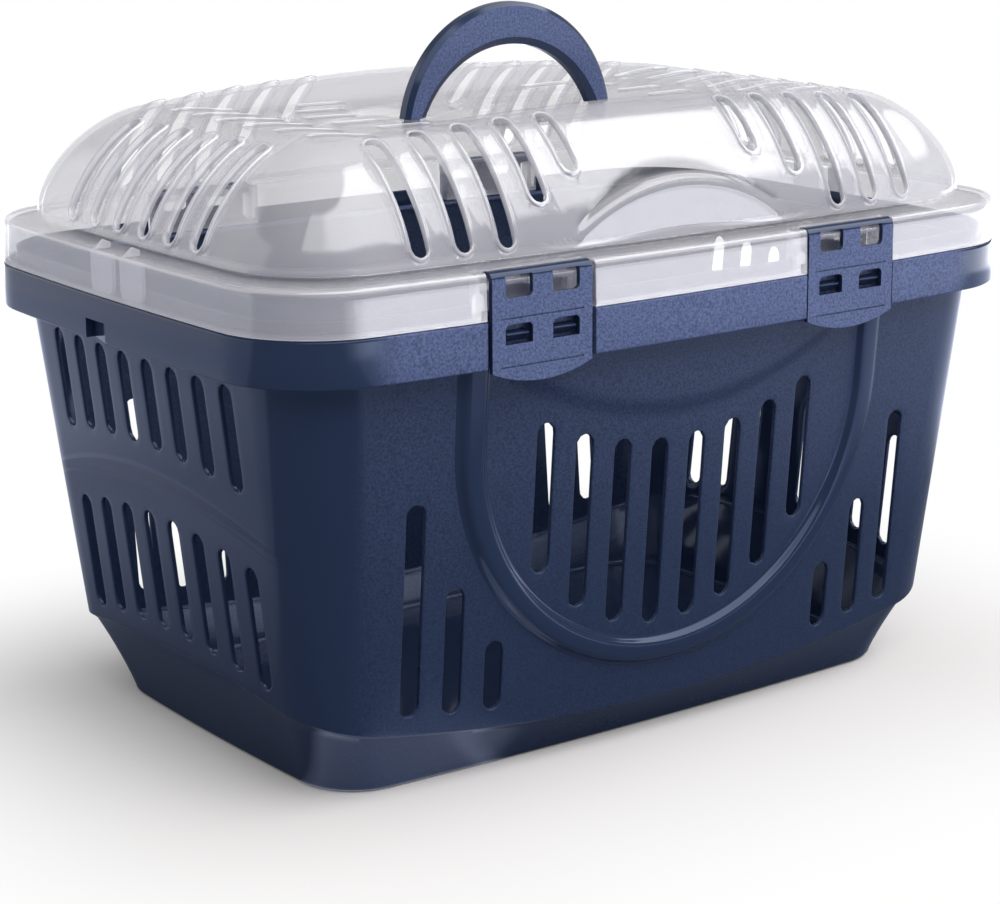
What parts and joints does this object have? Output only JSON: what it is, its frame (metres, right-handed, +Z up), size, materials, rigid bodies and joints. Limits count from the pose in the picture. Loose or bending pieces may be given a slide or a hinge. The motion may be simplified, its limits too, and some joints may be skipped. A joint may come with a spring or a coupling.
{
  "type": "small pet carrier",
  "caption": "Slotted navy tub with a clear hinged dome lid, a fixed arched handle and snap clips on both long sides, for carrying a small animal",
  "frame": {"origin": "on the floor, under the middle of the tub", "axes": "+X runs along the length of the carrier, towards its right end seen from the front. The front is -Y. +Z points up."},
  "size_m": [0.49, 0.3308, 0.3724],
  "materials": {
    "tub_plastic": "navy polypropylene, spark-eroded grain on the walls, smooth on the plinth and bead",
    "clear_plastic": "clear moulding, polished",
    "handle_plastic": "navy polypropylene, fine grain",
    "clip_plastic": "navy polypropylene, fine grain"
  },
  "bodies": {
    "tub": {"tub": "tub_plastic", "rear_clip_left": "clip_plastic", "rear_clip_right": "clip_plastic"},
    "lid": {"lid": "clear_plastic", "handle": "handle_plastic"},
    "front_clip_left": {"front_clip_left": "clip_plastic"},
    "front_clip_right": {"front_clip_right": "clip_plastic"}
  },
  "joints": [
    {"name": "lid_hinge", "type": "hinge", "parent": "tub", "child": "lid", "pos_m": [0, 0.1585, 0.2594], "axis": [-1, 0, 0], "range_deg": [0, 110]},
    {"name": "front_clip_left_hinge", "type": "hinge", "parent": "lid", "child": "front_clip_left", "pos_m": [-0.1, -0.1585, 0.2594], "axis": [-1, 0, 0], "range_deg": [0, 135]},
    {"name": "front_clip_right_hinge", "type": "hinge", "parent": "lid", "child": "front_clip_right", "pos_m": [0.1, -0.1585, 0.2594], "axis": [-1, 0, 0], "range_deg": [0, 135]}
  ]
}
